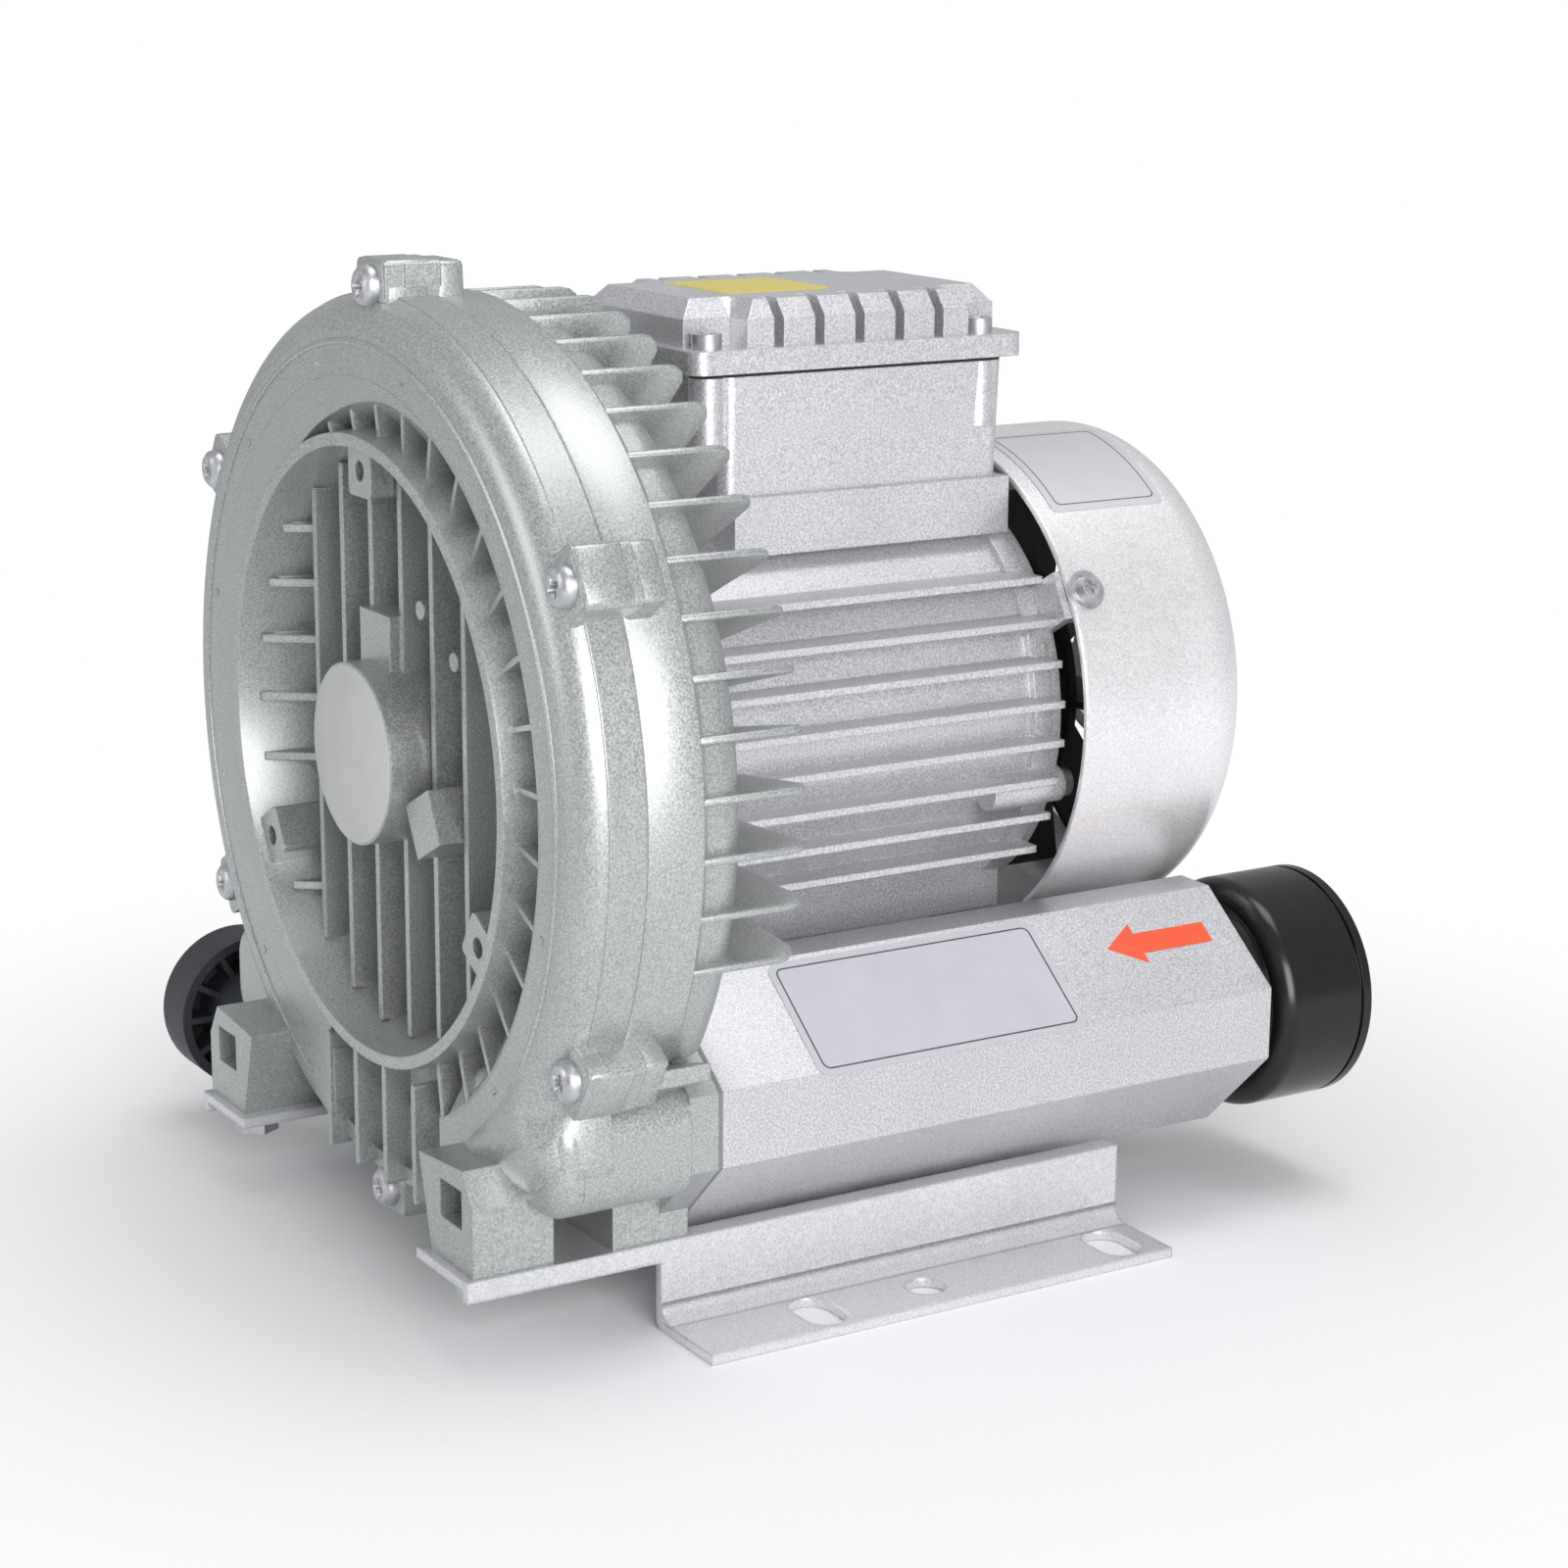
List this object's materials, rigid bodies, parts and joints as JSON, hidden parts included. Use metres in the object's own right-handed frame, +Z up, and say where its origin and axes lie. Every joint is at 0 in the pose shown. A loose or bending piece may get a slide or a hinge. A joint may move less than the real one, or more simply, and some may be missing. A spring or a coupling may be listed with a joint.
{
  "type": "side channel blower",
  "caption": "Side channel blower: finned motor with fan cowl and terminal box drives an impeller in a ribbed housing; silencers below end in hose fittings, on slotted foot rails.",
  "frame": {"origin": "on the floor, at the centre of the four foot slots", "axes": "+X to the right seen from the impeller cover, +Y from the cover to the fan cowl along the shaft, +Z up"},
  "size_m": [0.23, 0.249, 0.239],
  "materials": {
    "cast_paint": "silver grey paint, satin, fine sparkle",
    "sheet_paint": "silver grey paint on folded or drawn sheet",
    "zinc_steel": "bright zinc plate",
    "cast_raw": "turned and cast, unpainted",
    "steel_dark": "ground steel",
    "lamination": "stacked sheet edges",
    "copper": "enamelled wire",
    "black_gloss": "moulded, glossy",
    "black_matte": "moulded, matte",
    "fan_plastic": "moulded, matte",
    "gasket_rubber": "soft sheet",
    "foam": "open-cell foam",
    "board": "moulded, matte",
    "brass_stud": "turned"
  },
  "bodies": {
    "housing": {"cable_gland": "black_matte", "cover_screws": "zinc_steel", "cowl_screws": "zinc_steel", "cowl_washers": "zinc_steel", "end_shield_screws": "zinc_steel", "fan_cowl": "sheet_paint", "foot_bolts": "zinc_steel", "foot_rail_left": "sheet_paint", "foot_rail_right": "sheet_paint", "foot_washers": "zinc_steel", "front_bearing_outer": "steel_dark", "gland_nut": "black_matte", "gland_seal": "gasket_rubber", "impeller_casing": "cast_paint", "impeller_cover": "cast_paint", "left_fitting": "black_gloss", "lid_screws": "zinc_steel", "motor_frame": "cast_paint", "rear_bearing_outer": "steel_dark", "rear_end_shield": "cast_paint", "right_fitting": "black_gloss", "shaft_seal": "gasket_rubber", "side_port_cap": "black_matte", "silencer_foam_left": "foam", "silencer_foam_right": "foam", "silencer_gasket_left": "gasket_rubber", "silencer_gasket_right": "gasket_rubber", "silencer_left": "cast_paint", "silencer_right": "cast_paint", "silencer_screws": "zinc_steel", "stator_core": "lamination", "stator_windings": "copper", "terminal_board": "board", "terminal_box": "cast_paint", "terminal_box_gasket": "gasket_rubber", "terminal_box_lid": "cast_paint", "terminal_box_screws": "zinc_steel", "terminal_studs": "brass_stud", "wave_washer": "steel_dark"},
    "rotor": {"shaft": "steel_dark", "impeller": "cast_raw", "impeller_key": "steel_dark", "impeller_washer": "zinc_steel", "impeller_bolt": "zinc_steel", "front_bearing_inner": "steel_dark", "rear_bearing_inner": "steel_dark", "rotor_core": "lamination", "rotor_cage": "cast_raw", "cooling_fan": "fan_plastic", "fan_clip": "steel_dark"},
    "front_balls": {"front_bearing_balls": "steel_dark"},
    "rear_balls": {"rear_bearing_balls": "steel_dark"}
  },
  "joints": [
    {"name": "rotor_spin", "type": "hinge", "parent": "housing", "child": "rotor", "pos_m": [0, 0, 0.125], "axis": [0, 1, 0], "continuous": true},
    {"name": "front_balls_spin", "type": "hinge", "parent": "housing", "child": "front_balls", "pos_m": [0, -0.059, 0.125], "axis": [0, 1, 0], "continuous": true},
    {"name": "rear_balls_spin", "type": "hinge", "parent": "housing", "child": "rear_balls", "pos_m": [0, 0.0485, 0.125], "axis": [0, 1, 0], "continuous": true}
  ],
  "couplings": [
    {"joint": "front_balls_spin", "follows": "rotor_spin", "ratio": 0.427},
    {"joint": "rear_balls_spin", "follows": "rotor_spin", "ratio": 0.427}
  ]
}
